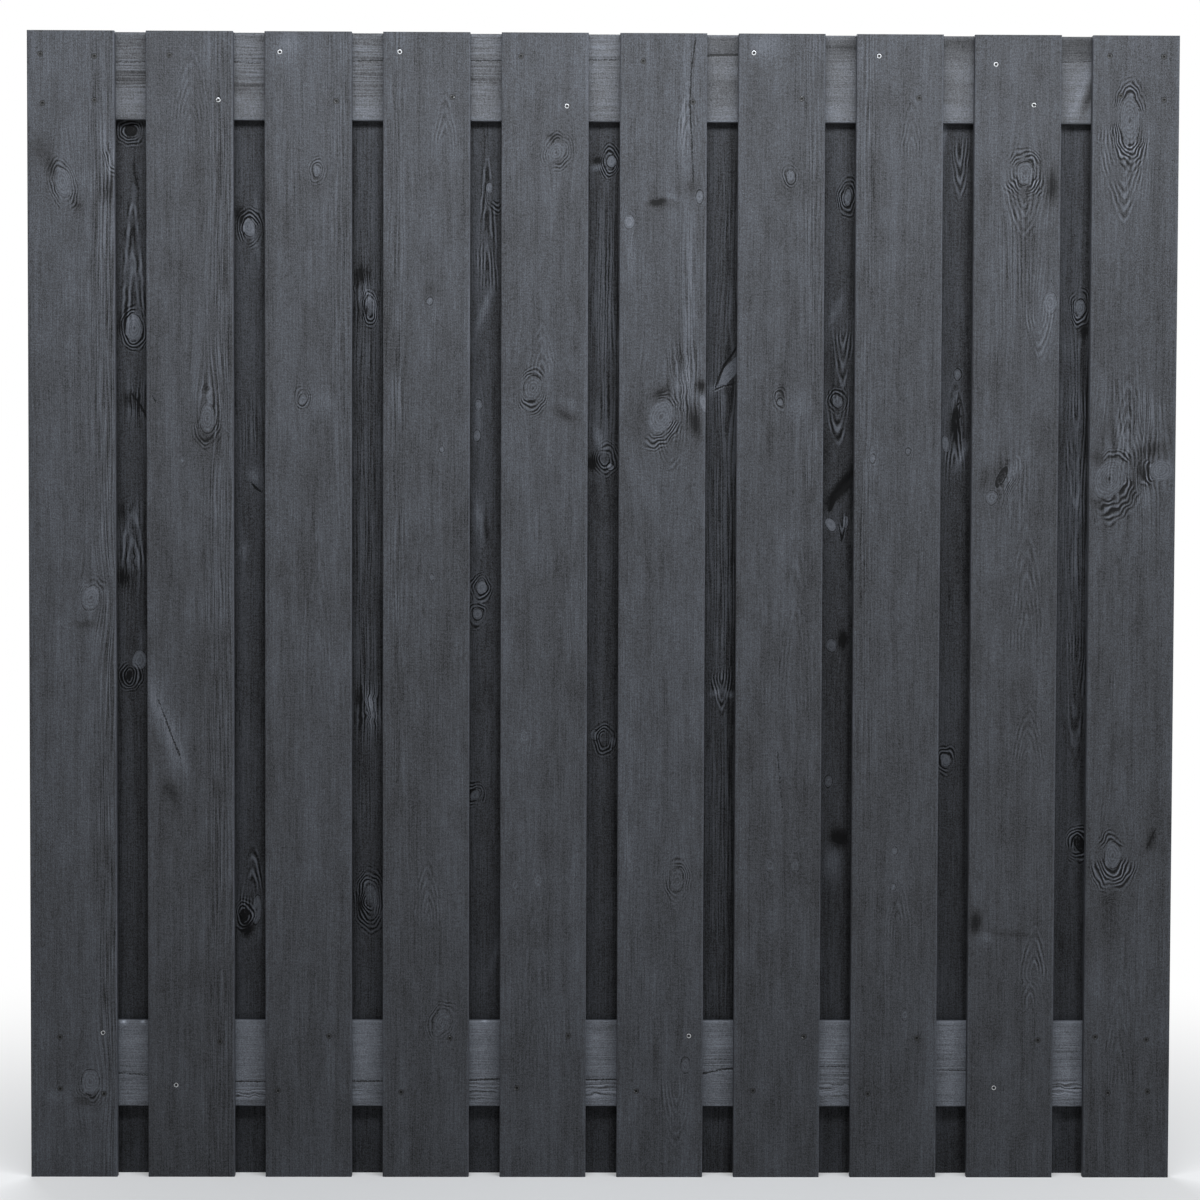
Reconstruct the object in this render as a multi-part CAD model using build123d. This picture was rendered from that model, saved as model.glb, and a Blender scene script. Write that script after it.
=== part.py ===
from build123d import *
from itertools import cycle
import os

# Close-boarded garden fence panel of planed softwood, sizes in millimetres.
# Upright boards stand in front of two rails, and a second row behind the rails
# closes the gaps. Countersunk screws hold every board to both rails.
# X runs along the panel, Z is up and the front faces -Y. The origin is the centre
# of the footprint, level with the lower ends of the boards.

# Whole panel
PANEL_WIDTH = 1800.0
PANEL_HEIGHT = 1800.0

# Front row of boards
FRONT_BOARD_COUNT = 10
FRONT_BOARD_WIDTH = 136.0
FRONT_BOARD_THICKNESS = 15.0

# Back row, one board behind each gap of the front row
BACK_BOARD_WIDTH = 136.0
BACK_BOARD_THICKNESS = 15.0

# Rails, which lie between the two rows
RAIL_HEIGHT = 136.0
RAIL_THICKNESS = 15.0
BOTTOM_RAIL_LIFT = 110.0

# Planed long edges of all boards and rails
EDGE_RADIUS = 1.5

# Screws. A panel holds more than eighty, so each one is an eight-sided form.
# The point cover is the wood left between a screw's point and the rail's far face.
SCREW_HEAD_WIDTH = 7.5
SCREW_SHANK_WIDTH = 4.0
SCREW_POINT_LENGTH = 4.0
SCREW_POINT_COVER = 4.6
SCREW_SINK = 0.4
SCREW_CLEARANCE = 0.1
SCREW_SIDES = 8

# Screw places: in from a board's long edges, and from a rail's upper and lower edges
FRONT_SCREW_SIDE_INSET = 30.0
BACK_SCREW_SIDE_INSET = 30.0
TOP_RAIL_SCREW_INSET = 34.0
BOTTOM_RAIL_SCREW_INSET = 25.0

# The front screws were set by eye. Each pair is how far one screw strays to the
# right and upwards, in the order in which the screws are placed from left to right.
TOP_RAIL_STRAYS = [
    (-9, -3), (-1, -6), (-1, -6), (-6, -11), (7, -4), (7, -5), (-6, 2), (6, -6),
    (-4, 3), (2, 1), (0, -3), (-4, -12), (6, -10), (8, -5), (-6, 4), (-7, 1),
    (5, 0), (-8, 3), (3, -12), (-13, -7), (-4, 2), (6, 2), (5, 1), (14, 8),
]
BOTTOM_RAIL_STRAYS = [
    (8, 8), (16, 5), (16, 1), (9, -3), (7, -6), (14, 11), (-6, 3), (-10, 2),
    (0, 0), (-1, 0), (2, 4), (-3, 7), (8, 4), (1, 2), (5, 3), (1, 3),
    (-1, 1), (-2, -2), (6, -2), (13, 8), (-7, -1), (9, 0), (-12, 3), (-4, 2),
]
NO_STRAYS = [(0, 0)]

# Screw patterns, as the side and the row of each screw on a crossing
FALLING_PAIR = [(-1, 1), (1, -1)]
RISING_PAIR = [(1, 1), (-1, -1)]

# Places that follow from the sizes
PANEL_DEPTH = FRONT_BOARD_THICKNESS + RAIL_THICKNESS + BACK_BOARD_THICKNESS
FRONT_FACE_Y = -PANEL_DEPTH / 2
BACK_FACE_Y = PANEL_DEPTH / 2
FRONT_BOARD_Y = FRONT_FACE_Y + FRONT_BOARD_THICKNESS / 2
RAIL_Y = FRONT_FACE_Y + FRONT_BOARD_THICKNESS + RAIL_THICKNESS / 2
BACK_BOARD_Y = BACK_FACE_Y - BACK_BOARD_THICKNESS / 2
BOARD_PITCH = (PANEL_WIDTH - FRONT_BOARD_WIDTH) / (FRONT_BOARD_COUNT - 1)
FIRST_BOARD_X = (FRONT_BOARD_WIDTH - PANEL_WIDTH) / 2
TOP_RAIL_Z = PANEL_HEIGHT - RAIL_HEIGHT / 2
BOTTOM_RAIL_Z = BOTTOM_RAIL_LIFT + RAIL_HEIGHT / 2
FRONT_BOARD_XS = [FIRST_BOARD_X + i * BOARD_PITCH for i in range(FRONT_BOARD_COUNT)]
BACK_BOARD_XS = [x + BOARD_PITCH / 2 for x in FRONT_BOARD_XS[:-1]]


def plank(width, thickness, length):
    """A planed plank that stands on the origin, with its long edges eased."""
    return extrude(RectangleRounded(width, thickness, EDGE_RADIUS), amount=length)


def board(x, y, width, thickness, holes):
    """An upright board with its screw holes."""
    blank = Pos(x, y, 0) * plank(width, thickness, PANEL_HEIGHT)
    return blank - holes


def rail(z, holes):
    """A rail that lies on its edge along the whole panel, with the pilots of its screws."""
    blank = Pos(-PANEL_WIDTH / 2, RAIL_Y, z) * Rot(0, 90, 0) * plank(RAIL_HEIGHT, RAIL_THICKNESS, PANEL_WIDTH)
    return blank - holes


def countersunk_form(top_radius, top_z, shank_radius, point_z):
    """A right-angled cone on a shank that ends in a point, facing down the Z axis."""
    shank_z = top_z - (top_radius - shank_radius)
    top = Pos(0, 0, top_z) * RegularPolygon(top_radius, SCREW_SIDES)
    neck = Pos(0, 0, shank_z) * RegularPolygon(shank_radius, SCREW_SIDES)
    shank_end = Pos(0, 0, point_z + SCREW_POINT_LENGTH) * RegularPolygon(shank_radius, SCREW_SIDES)
    return loft([top.face(), neck.face(), shank_end.face(), Vertex(0, 0, point_z)], ruled=True)


def screw(point_depth):
    """A screw, its head just below the wood's face at the origin."""
    return countersunk_form(SCREW_HEAD_WIDTH / 2, -SCREW_SINK, SCREW_SHANK_WIDTH / 2, -point_depth)


def screw_hole(point_depth):
    """The hole that a screw sits in, its mouth in the wood's face at the origin."""
    mouth_radius = SCREW_HEAD_WIDTH / 2 + SCREW_SINK + SCREW_CLEARANCE
    shank_radius = SCREW_SHANK_WIDTH / 2 + SCREW_CLEARANCE
    return countersunk_form(mouth_radius, 0, shank_radius, -point_depth - SCREW_CLEARANCE)


def front_place(x, z):
    """A screw's place on the front face, pointing into the panel."""
    return Pos(x, FRONT_FACE_Y, z) * Rot(90, 0, 0)


def back_place(x, z):
    """A screw's place on the back face, pointing into the panel."""
    return Pos(x, BACK_FACE_Y, z) * Rot(-90, 0, 0)


def crossing(place, board_x, side_reach, rail_z, row_reach, pattern, strays):
    """The places of the screws where one board crosses one rail."""
    places = []
    for side, row in pattern:
        stray_x, stray_z = next(strays)
        places.append(place(board_x + side * side_reach + stray_x, rail_z + row * row_reach + stray_z))
    return places


def rail_crossings(place, board_xs, side_reach, rail_z, row_inset, patterns, strays):
    """The places of a rail's screws on one face, as one list for each board."""
    endless_strays = cycle(strays)
    row_reach = RAIL_HEIGHT / 2 - row_inset
    return [
        crossing(place, x, side_reach, rail_z, row_reach, pattern, endless_strays)
        for x, pattern in zip(board_xs, patterns)
    ]


def front_patterns(middle_pair, other_pair):
    """The end boards carry both pairs of screws on each rail, the others one pair."""
    both_pairs = middle_pair + other_pair
    return [both_pairs] + [middle_pair] * (FRONT_BOARD_COUNT - 2) + [both_pairs]


def back_patterns(pair):
    """Every back board has the front row's own pair, which keeps the screws of both faces apart."""
    return [pair] * len(BACK_BOARD_XS)


def flat(lists):
    """One list of everything in some lists."""
    return [item for items in lists for item in items]


def at(form, places):
    """Copies of a form at some places."""
    return [place * form for place in places]


def build_panel():
    """Every piece of the panel, by its name."""
    front_depth = FRONT_BOARD_THICKNESS + RAIL_THICKNESS - SCREW_POINT_COVER
    back_depth = BACK_BOARD_THICKNESS + RAIL_THICKNESS - SCREW_POINT_COVER
    front_reach = FRONT_BOARD_WIDTH / 2 - FRONT_SCREW_SIDE_INSET
    back_reach = BACK_BOARD_WIDTH / 2 - BACK_SCREW_SIDE_INSET

    front_top = rail_crossings(front_place, FRONT_BOARD_XS, front_reach, TOP_RAIL_Z, TOP_RAIL_SCREW_INSET,
                               front_patterns(FALLING_PAIR, RISING_PAIR), TOP_RAIL_STRAYS)
    front_bottom = rail_crossings(front_place, FRONT_BOARD_XS, front_reach, BOTTOM_RAIL_Z,
                                  BOTTOM_RAIL_SCREW_INSET, front_patterns(RISING_PAIR, FALLING_PAIR),
                                  BOTTOM_RAIL_STRAYS)
    back_top = rail_crossings(back_place, BACK_BOARD_XS, back_reach, TOP_RAIL_Z, TOP_RAIL_SCREW_INSET,
                              back_patterns(FALLING_PAIR), NO_STRAYS)
    back_bottom = rail_crossings(back_place, BACK_BOARD_XS, back_reach, BOTTOM_RAIL_Z,
                                 BOTTOM_RAIL_SCREW_INSET, back_patterns(RISING_PAIR), NO_STRAYS)

    front_hole = screw_hole(front_depth)
    back_hole = screw_hole(back_depth)
    pieces = {}
    for i, x in enumerate(FRONT_BOARD_XS):
        holes = at(front_hole, front_top[i] + front_bottom[i])
        pieces[f"front_board_{i + 1:02d}"] = board(x, FRONT_BOARD_Y, FRONT_BOARD_WIDTH,
                                                   FRONT_BOARD_THICKNESS, holes)
    for i, x in enumerate(BACK_BOARD_XS):
        holes = at(back_hole, back_top[i] + back_bottom[i])
        pieces[f"back_board_{i + 1:02d}"] = board(x, BACK_BOARD_Y, BACK_BOARD_WIDTH,
                                                  BACK_BOARD_THICKNESS, holes)
    top_holes = at(front_hole, flat(front_top)) + at(back_hole, flat(back_top))
    bottom_holes = at(front_hole, flat(front_bottom)) + at(back_hole, flat(back_bottom))
    pieces["top_rail"] = rail(TOP_RAIL_Z, top_holes)
    pieces["bottom_rail"] = rail(BOTTOM_RAIL_Z, bottom_holes)

    front_screw = screw(front_depth)
    back_screw = screw(back_depth)
    pieces["front_screws_top_rail"] = Compound(at(front_screw, flat(front_top)))
    pieces["front_screws_bottom_rail"] = Compound(at(front_screw, flat(front_bottom)))
    pieces["back_screws_top_rail"] = Compound(at(back_screw, flat(back_top)))
    pieces["back_screws_bottom_rail"] = Compound(at(back_screw, flat(back_bottom)))
    return pieces


os.makedirs("parts", exist_ok=True)
for name, piece in build_panel().items():
    export_step(piece, f"parts/{name}.step")
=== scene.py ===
import math
from collections import namedtuple

import bpy
import numpy as np
from mathutils import Matrix, Vector


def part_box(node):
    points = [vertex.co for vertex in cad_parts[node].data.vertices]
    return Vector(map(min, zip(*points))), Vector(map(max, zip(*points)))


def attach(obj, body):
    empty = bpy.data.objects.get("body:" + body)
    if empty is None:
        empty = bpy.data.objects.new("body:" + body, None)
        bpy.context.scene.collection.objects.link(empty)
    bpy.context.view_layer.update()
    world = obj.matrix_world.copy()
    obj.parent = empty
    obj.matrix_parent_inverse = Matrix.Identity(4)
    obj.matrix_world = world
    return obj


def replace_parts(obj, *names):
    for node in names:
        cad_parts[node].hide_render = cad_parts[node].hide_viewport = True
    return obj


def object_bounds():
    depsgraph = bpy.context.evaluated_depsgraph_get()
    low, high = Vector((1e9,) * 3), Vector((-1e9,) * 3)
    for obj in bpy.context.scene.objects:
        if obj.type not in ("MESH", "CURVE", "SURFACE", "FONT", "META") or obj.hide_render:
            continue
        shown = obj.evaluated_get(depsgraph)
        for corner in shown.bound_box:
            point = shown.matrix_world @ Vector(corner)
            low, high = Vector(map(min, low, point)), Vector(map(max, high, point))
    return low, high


# Wooden fence panel, dressed. Every plank is a swept mesh that carries the wood's own
# coordinates as attributes: the line of the grain, the knots, rings and cracks. The
# materials draw fibres, growth rings, stain and wear from those coordinates.
# The scene is in metres. Inside a plank all lengths are in millimetres.

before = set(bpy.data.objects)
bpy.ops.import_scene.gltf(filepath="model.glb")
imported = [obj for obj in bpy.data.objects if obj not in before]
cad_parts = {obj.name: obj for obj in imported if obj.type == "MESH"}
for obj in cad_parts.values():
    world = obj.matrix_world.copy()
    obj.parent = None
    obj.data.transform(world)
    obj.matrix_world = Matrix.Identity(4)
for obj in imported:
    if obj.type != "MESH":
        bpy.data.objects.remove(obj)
cad_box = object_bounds()

MM = 0.001

# Camera, fitted to the panel's corners and edges in the photograph
PHOTO_SIZE = 1200.0
CAMERA_PLACE = (-0.0526, -4.5284, 1.0821)
CAMERA_YAW = math.radians(0.614)
CAMERA_PITCH = math.radians(-2.131)
CAMERA_ROLL = math.radians(0.188)
CAMERA_LENS = 86.08
SENSOR_WIDTH = 36.0
VIEW_DEPTH = 60.0

# Soft lights, by their place, the point that they face, their width and height, and their power
Lamp = namedtuple("Lamp", "place target size power")
LAMPS = {
    "key": Lamp((0.1, -1.5, 2.75), (0.0, 0.0, 2.0), (3.0, 0.6), 100.0),
    "side": Lamp((3.4, -2.3, 2.1), (0.0, 0.0, 1.3), (0.5, 1.0), 45.0),
    "rear_fill": Lamp((-0.6, 2.4, 2.6), (0.0, 0.0, 0.9), (2.6, 1.2), 80.0),
}
LIGHT_COLOUR = (0.955, 0.985, 1.02)
ROOM_STRENGTH = 0.08
WHITE = (1.0, 1.0, 1.0, 1.0)

# The floor's paint, and how far from its middle it fades into the white background
FLOOR_HALF = 40.0
FLOOR_VALUE = 0.72
FLOOR_GLOW = 0.12
FLOOR_FADE_START = 0.4
FLOOR_FADE_END = 2.2

# The stained wood of each kind of plank: how much light its front gives back, how much its
# fibres stand out, how much its knots and rings do, and how much it shines
Finish = namedtuple("Finish", "value contrast boldness specular")
FRONT_FINISH = Finish(0.046, 1.1, 1.8, 0.13)
# The back boards' front gives back less than their rear: painted shade for the gaps they lie in
BACK_FINISH = Finish(0.0335, 1.35, 2.6, 0.08)
# The rails' front gives back more than their rear: partly paler planed wood, partly painted light
RAIL_FINISH = Finish(0.078, 1.0, 1.5, 0.2)

# What all of them give back on their rear and their ends, and the tones of the two rails
REAR_VALUE = 0.048
END_VALUE = 0.0322
TOP_RAIL_TONE = -0.11
BOTTOM_RAIL_TONE = 0.26

# The lowest shade of the wood, and how much light is left in a crack and in a screw hole, as painted shade.
# The painted shade of a hole starts at its edge and is full at its rim, both distances from its middle.
DARKEST = 0.14
CRACK_LIGHT = 0.15
HOLE_LIGHT, HOLE_EDGE, HOLE_RIM = 0.32, 4.9, 4.1

# The front's value passes into the rear's over this far on both sides of a plank's middle
REAR_BLEND = 3.0

# What grows in the wood, read from the photograph. Places and sizes are in the
# photograph's pixels, FEATURE_SCALE millimetres each. Tilts are in degrees clockwise.
FEATURE_SCALE = 1.575
Knot = namedtuple("Knot", "x y a b tone rim tilt", defaults=[0])
# Arcs hug an oval, within a sector from start to end in degrees, where 0 is right and 90 up
Arcs = namedtuple("Arcs", "x y a b reach strength spacing start end tilt", defaults=[-180, 180, 0])
# An arch is a nest of growth rings. Its foot is at x, y and its tip a height above that,
# or below it where the height is negative. A point under 2 makes the tips sharper.
Arch = namedtuple("Arch", "x y a height point strength spacing")
Patch = namedtuple("Patch", "x y a b tone tilt", defaults=[0])
# In a ridge the fibres stand out more, by a gain, and waver by a number of millimetres
Ridge = namedtuple("Ridge", "x y a b gain waver", defaults=[0])
# A crack's half thickness is in millimetres
Crack = namedtuple("Crack", "half points")


def ringed(x, y, a, b, tone, rim, *rings, tilt=0):
    """A knot with the arcs that hug it, each a reach, a strength, a spacing and maybe a sector."""
    return [Knot(x, y, a, b, tone, rim, tilt)] + [Arcs(x, y, a, b, *ring, tilt=tilt) for ring in rings]


FRONT_FEATURES = {
    1: [
        Knot(62, 182, 8, 15, 0.16, 0.5, -14), Arcs(62, 184, 8, 15, 13, 0.5, 3.6, tilt=-14),
        Patch(52, 168, 5, 11, -0.4, -14), Patch(78, 178, 14, 9, 0.22, 20), Patch(40, 150, 9, 16, -0.26),
        Patch(78, 205, 5, 4, -0.3, 30), Arcs(122, 140, 14, 26, 12, 0.9, 3.2, 200, 280),
        Patch(110, 160, 4, 16, 0.3, 8), Patch(108, 192, 7, 12, -0.32, 6), Ridge(106, 192, 9, 18, 1.6, 1),
        Ridge(108, 600, 10, 620, 1.3), Ridge(92, 300, 12, 200, 0.5),
        *ringed(91, 598, 9, 13, 0.22, 0.6, (12, 0.4, 3.2, 20, 170), tilt=15),
        Patch(93, 588, 12, 4, 0.24, 10), Patch(87, 624, 11, 4, -0.32), Patch(60, 622, 6, 4, 0.16),
        *ringed(90, 1082, 9, 13, 0.22, 0.9, (14, 0.6, 3.4, -160, -20), tilt=5),
        Patch(87, 1101, 11, 6, -0.34), Patch(57, 1095, 9, 8, 0.2, 20), Patch(70, 330, 10, 90, 0.08),
    ],
    2: [
        *ringed(207, 418, 8, 15, 0.14, 0.55, (14, 0.6, 3.4, -170, -10)), Patch(206, 438, 10, 4, -0.36),
        Patch(207, 394, 12, 9, 0.2), Ridge(208, 402, 16, 26, 1, 1.2),
        Crack(0.8, [(151, 394), (155, 401), (159, 405)]), Patch(170, 735, 9, 46, 0.44, -17),
        Patch(184, 760, 3.5, 26, 0.3, -17), Patch(155, 708, 6, 24, 0.26, -14),
        Crack(1.1, [(157, 698), (165, 717), (173, 738), (181, 759)]), Patch(172, 792, 6, 12, -0.36, -24),
        Ridge(222, 600, 13, 620, 1.1), Patch(200, 130, 5, 90, -0.1), Patch(183, 461, 1.5, 1.5, 0.9),
        Arch(190, 130, 22, 90, 1.6, 0.3, 3.2),
    ],
    3: [
        *ringed(317, 171, 4, 6, 0.26, 0.9, (9, 0.5, 3)), Patch(317, 185, 8, 12, -0.1),
        Knot(303, 400, 4, 6, 0.28, 1), Arcs(303, 398, 4, 6, 8, 0.5, 3), Patch(322, 401, 14, 13, 0.2),
        Patch(290, 45, 12, 14, 0.26), Ridge(340, 250, 10, 260, 0.7),
        Arch(318, 700, 20, 190, 1.5, 0.22, 3.6),
    ],
    4: [
        Knot(430, 301, 3, 4, 0.5, 0.8), Patch(432, 290, 5, 9, -0.22), Patch(434, 312, 10, 12, 0.12),
        Knot(441, 449, 2.5, 3.5, 0.45, 0.6), Knot(432, 577, 2.5, 3.5, 0.4, 0.6),
        Arch(428, 915, 16, 60, 1.4, 0.4, 3.2),
        *ringed(441, 1022, 8, 12, 0.12, 0.3, (12, 0.35, 3.4), tilt=20),
        Arch(445, 150, 14, 60, 1.4, 0.4, 3.2), Ridge(398, 300, 7, 500, 0.8),
    ],
    5: [
        *ringed(557, 152, 9, 11, 0.1, 0.3, (12, 0.4, 3.4), tilt=20), Patch(553, 137, 9, 4, -0.34),
        Patch(546, 140, 4, 5, 0.2), Patch(560, 161, 6, 4, -0.26), Arch(542, 372, 15, 50, 1.4, 0.35, 3.4),
        *ringed(533, 388, 8.5, 13, 0.1, 1, (16, 0.9, 3, -140, -20), (9, 0.6, 3, 40, 140), tilt=8),
        Patch(572, 404, 13, 5, 0.22, 25), Patch(565, 415, 13, 5, -0.3, 30), Patch(513, 440, 9, 36, 0.16),
        Knot(525, 737, 5, 8, 0.14, 0.25), Knot(515, 885, 4, 6, 0.14, 0.25),
        Knot(538, 880, 5, 7, 0.14, 0.25), Patch(575, 900, 3, 110, 0.16),
        Arch(535, 1060, 20, 200, 1.6, 0.2, 3.6),
    ],
    6: [
        Crack(0.8, [(696, 36), (692, 70), (691, 101), (692, 150), (693, 190)]), Patch(686, 100, 4, 80, 0.2),
        Arch(688, 140, 14, 60, 1.5, 0.5, 3.4), Ridge(688, 110, 12, 60, 0.8, 0.8),
        Patch(664, 203, 14, 6, -0.24), Patch(657, 202, 7, 2.6, -0.7, -8), Patch(672, 197, 9, 3, 0.24, 20),
        Knot(630, 222, 5, 7, 0.4, 0.5), Patch(631, 246, 3.5, 26, 0.26), Knot(700, 197, 4, 7, 0.4, 0.8),
        Patch(690, 290, 3, 70, 0.2), Ridge(690, 290, 8, 70, 0.9), Patch(690, 188, 8, 8, -0.26),
        *ringed(661, 416, 11.5, 17.5, 0.24, 0.25, (17, 1.4, 3.4, -125, -15),
                (9, 0.8, 2.8, 30, 100), tilt=24),
        Patch(683, 384, 9, 20, 0.42, 14), Ridge(682, 384, 15, 36, 2.4, 3),
        Patch(694, 420, 6, 17, -0.66, -14), Patch(660, 393, 9, 5, -0.44, -35),
        Patch(640, 425, 8, 16, -0.12), Patch(702, 386, 5, 5, -0.75), Knot(704, 403, 3.5, 9, 0.55, 0, -14),
        Patch(676, 450, 14, 14, -0.12), Patch(684, 470, 5, 18, 0.14),
        Arch(672, 440, 16, -34, 1.5, 0.5, 3.2), *ringed(677, 880, 7, 12, 0.06, 0.8, (12, 0.5, 3.2)),
        Patch(630, 800, 9, 210, 0.1), Patch(630, 850, 7, 26, 0.2), Patch(655, 1060, 3, 22, -0.26),
        Knot(685, 1065, 5, 8, 0.1, 0.6), Arch(676, 1090, 18, -60, 1.5, 0.4, 3.4),
    ],
    7: [
        *ringed(790, 176, 4, 6, 0.3, 0.6, (9, 0.5, 3)), Patch(789, 190, 8, 12, -0.1),
        Knot(780, 402, 3.5, 4.5, 0.42, 1), Patch(781, 394, 4, 9, -0.35), Patch(796, 405, 16, 16, 0.2),
        Arcs(780, 400, 4, 6, 8, 0.5, 3), Crack(0.5, [(777, 750), (780, 780), (783, 810)]),
        Knot(770, 865, 5, 7, 0.18, 0.3), Knot(795, 865, 5, 7, 0.16, 0.3), Patch(783, 545, 4, 28, 0.16),
        Patch(764, 44, 12, 13, 0.24), Ridge(812, 250, 9, 260, 0.7), Arch(795, 700, 20, 190, 1.5, 0.22, 3.6),
    ],
    8: [
        Patch(875, 457, 9, 16, 0.22), Knot(874, 459, 3, 5, 0.3, 0.7), Knot(908, 451, 3, 4, 0.3, 0.8),
        Knot(895, 851, 3, 4, 0.34, 0.6), Knot(893, 887, 3, 4, 0.34, 0.6),
        Arch(898, 930, 16, 70, 1.4, 0.3, 3.2), Knot(905, 1015, 4, 7, 0.14, 0.4),
        Patch(930, 1050, 4, 60, 0.16), Arch(912, 150, 14, 60, 1.4, 0.35, 3.2), Ridge(868, 300, 7, 500, 0.8),
    ],
    9: [
        *ringed(1025, 173, 10, 12, 0.16, 0.9, (14, 0.8, 3.4, 30, 150), (18, 1.2, 3.4, -165, -15)),
        Arch(1025, 178, 24, -66, 1.4, 0.7, 3.4), Ridge(1024, 250, 24, 60, 0.9, 1),
        Patch(1053, 187, 6, 16, -0.52), Ridge(1040, 178, 20, 30, 0.8, 1.4),
        Crack(0.8, [(1050, 279), (1055, 287)]), Knot(1050, 303, 7, 11, 0.26, 0.5),
        Arch(1040, 315, 16, -50, 1.4, 0.6, 3.2), Patch(1045, 330, 14, 22, 0.1),
        Knot(1001, 477, 4, 11, -0.42, 0.8, 30), Patch(1004, 466, 5, 8, -0.24, 30),
        Knot(991, 498, 6, 7, 0.3, 0.5, 20), Patch(1014, 470, 5, 20, 0.28, 34),
        Patch(985, 478, 6, 14, -0.2, 30), Arcs(1000, 484, 6, 16, 16, 0.9, 3.2, -70, 60, tilt=34),
        Ridge(1012, 484, 18, 34, 1, 2), Arch(1026, 640, 20, 130, 1.5, 0.35, 3.4),
        Arch(1028, 760, 18, 60, 1.4, 0.35, 3.2), Patch(1040, 668, 9, 36, 0.14),
        Patch(976, 922, 6, 11, -0.62), Patch(986, 937, 7, 5, 0.3, 30), Patch(1010, 934, 26, 3.5, -0.2, 4),
        Arch(1034, 972, 15, 50, 1.4, 0.7, 3.4), Arch(1030, 1000, 16, 40, 1.4, 0.4, 3.2),
    ],
    10: [
        *ringed(1130, 120, 10.5, 25, 0.1, 0.8, (19, 1.3, 3.4, -172, -20), (13, 1, 3.2, 30, 150)),
        Arch(1124, 140, 27, -86, 1.3, 0.8, 3.6), Ridge(1130, 160, 20, 40, 0.8, 1.4),
        *ringed(1110, 478, 15, 22, 0.18, 0.4, (27, 1.5, 5.2, -112, -4), (10, 0.9, 3, 40, 110), tilt=22),
        Patch(1107, 481, 5, 7, -0.22), Patch(1130, 490, 7, 15, -0.26, 20),
        Patch(1118, 512, 14, 7, -0.16, 20), Patch(1148, 500, 8, 12, 0.16, 20), Patch(1097, 545, 4, 26, 0.2),
        *ringed(1161, 470, 13, 11, 0.24, 0.2, (16, 1.6, 4.4, 145, 235), tilt=-20),
        Patch(1144, 474, 6, 13, -0.46, -35), Patch(1150, 450, 18, 7, -0.42, -12),
        Patch(1128, 445, 9, 10, 0.24), Arch(1128, 480, 22, 110, 1.5, 0.5, 3.2),
        Ridge(1134, 445, 26, 66, 1.6, 1.6), Patch(1097, 458, 8, 6, -0.3, 30),
        Patch(1098, 503, 8, 5, -0.28, 20),
        *ringed(1113, 855, 9, 14, 0.26, 0.9, (24, 1.5, 3.8, -165, -15), (12, 0.9, 3.4, 40, 150)),
        Patch(1104, 884, 9, 7, 0.2, 20), Crack(1, [(1146, 850), (1151, 840), (1155, 830)]),
        Patch(1150, 842, 5, 14, -0.34, 25), Arch(1118, 1090, 18, 120, 1.5, 0.3, 3.4),
    ],
}
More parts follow.
